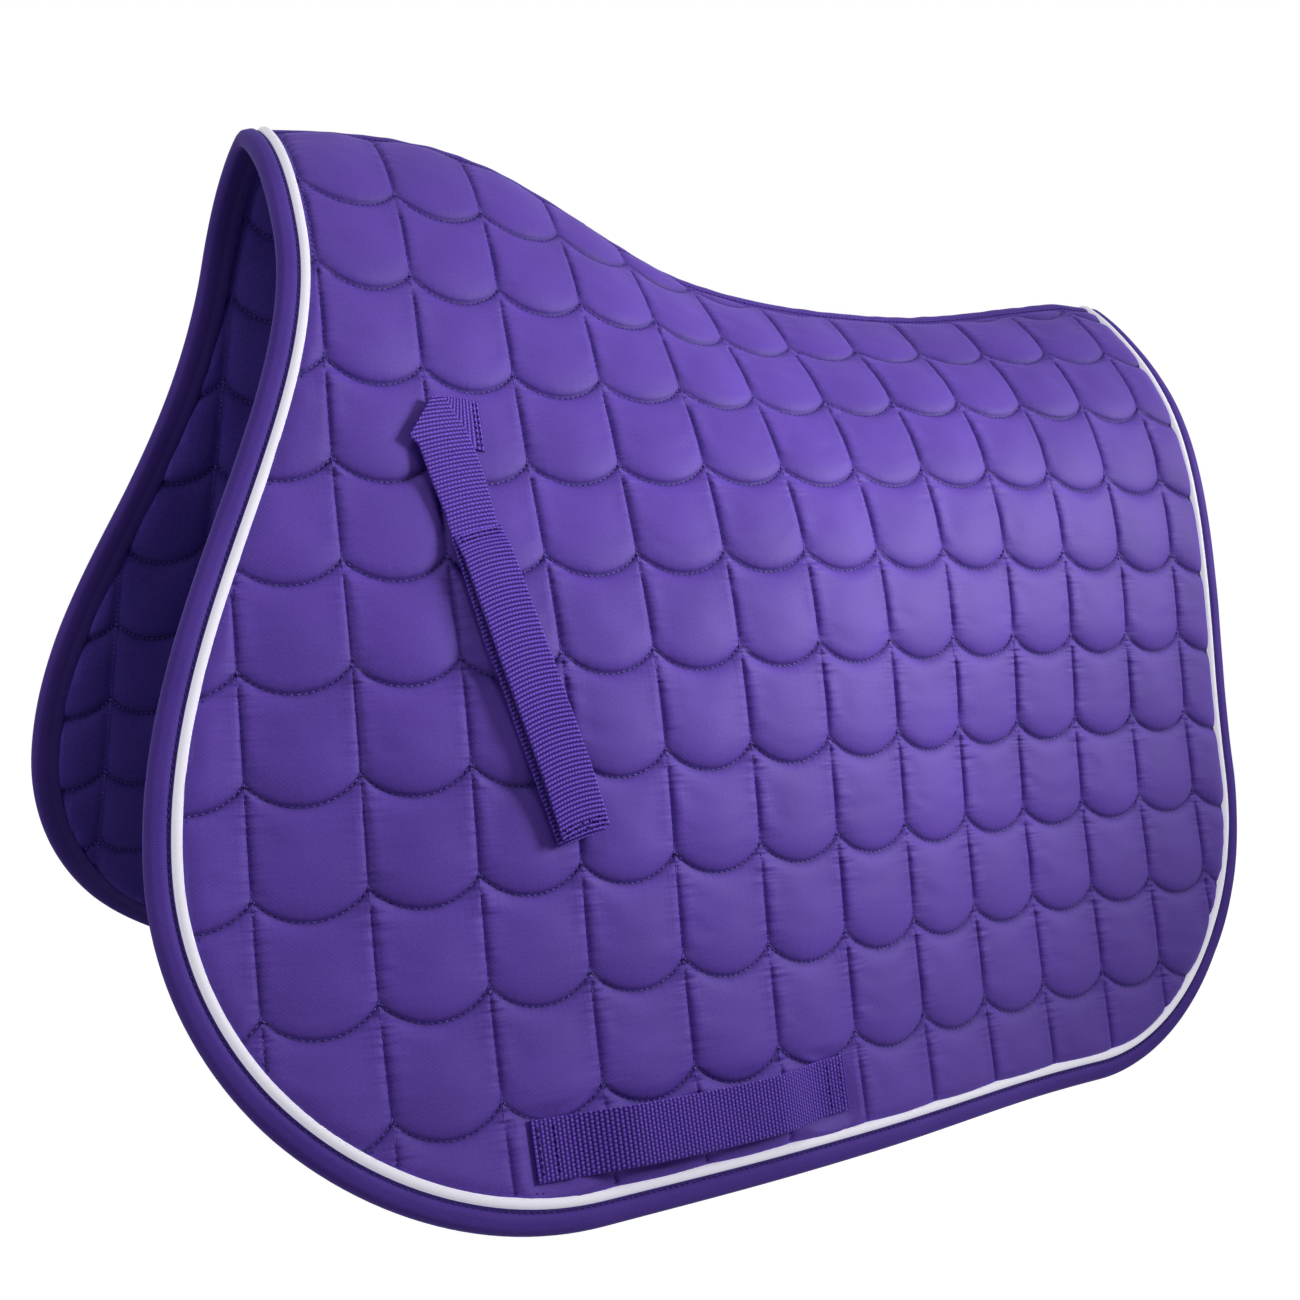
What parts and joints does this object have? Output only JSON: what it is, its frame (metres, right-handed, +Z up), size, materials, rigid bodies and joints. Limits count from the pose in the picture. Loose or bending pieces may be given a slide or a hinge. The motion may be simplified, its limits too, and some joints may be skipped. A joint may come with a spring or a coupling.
{
  "type": "saddle pad",
  "caption": "Quilted saddle pad with a contoured spine, rounded front lobe, piped and bound edge, touch-and-close billet straps and girth loops.",
  "frame": {"origin": "centre of the bounding box's foot, on the surface that the two hems stand on", "axes": "+X from the front edge to the tail edge along the horse's back, +Y towards the off (right) flap, +Z up through the spine"},
  "size_m": [0.6844, 0.4898, 0.5124],
  "materials": {
    "twill": "quilted cotton twill, matt with a faint diagonal rib",
    "brushed": "brushed cotton, matt and slightly fuzzy",
    "fibre": "needled polyester fibre, matt",
    "binding": "woven binding tape, matt",
    "piping": "covered cord, smooth white",
    "webbing": "woven polyester webbing, slight sheen",
    "strap_tape": "woven and hook-and-loop tape, matt"
  },
  "bodies": {
    "near_half": {"near_outer_shell": "twill", "near_lining": "brushed", "near_wadding": "fibre", "near_edge_binding": "binding", "near_spine_binding": "binding", "near_strap_anchor": "webbing", "near_edge_piping": "piping", "near_girth_loop": "webbing"},
    "near_strap": {"near_strap_under_leg": "strap_tape", "near_strap_loop_tape": "strap_tape"},
    "near_strap_cover": {"near_strap_hook_tape": "strap_tape", "near_strap_cover_leg": "webbing"},
    "off_half": {"off_outer_shell": "twill", "off_lining": "brushed", "off_wadding": "fibre", "off_edge_binding": "binding", "off_spine_binding": "binding", "off_strap_anchor": "webbing", "off_edge_piping": "piping", "off_girth_loop": "webbing"},
    "off_strap": {"off_strap_under_leg": "strap_tape", "off_strap_loop_tape": "strap_tape"},
    "off_strap_cover": {"off_strap_hook_tape": "strap_tape", "off_strap_cover_leg": "webbing"}
  },
  "joints": [
    {"name": "spine_fold", "type": "hinge", "parent": "near_half", "child": "off_half", "pos_m": [0, 0, 0.44103], "axis": [-1, 0, 0], "range_deg": [0, 44]},
    {"name": "near_strap_lift", "type": "hinge", "parent": "near_half", "child": "near_strap", "pos_m": [-0.1938, -0.12119, 0.34014], "axis": [-0.9688, -0.0955, -0.2288], "range_deg": [0, 80]},
    {"name": "near_strap_open", "type": "hinge", "parent": "near_strap", "child": "near_strap_cover", "pos_m": [-0.18436, -0.14324, 0.30617], "axis": [-0.9679, -0.0678, -0.2418], "range_deg": [0, 105]},
    {"name": "off_strap_lift", "type": "hinge", "parent": "off_half", "child": "off_strap", "pos_m": [-0.1938, 0.12119, 0.34014], "axis": [0.9688, -0.0955, 0.2288], "range_deg": [0, 80]},
    {"name": "off_strap_open", "type": "hinge", "parent": "off_strap", "child": "off_strap_cover", "pos_m": [-0.18436, 0.14324, 0.30617], "axis": [0.9679, -0.0678, 0.2418], "range_deg": [0, 105]}
  ]
}
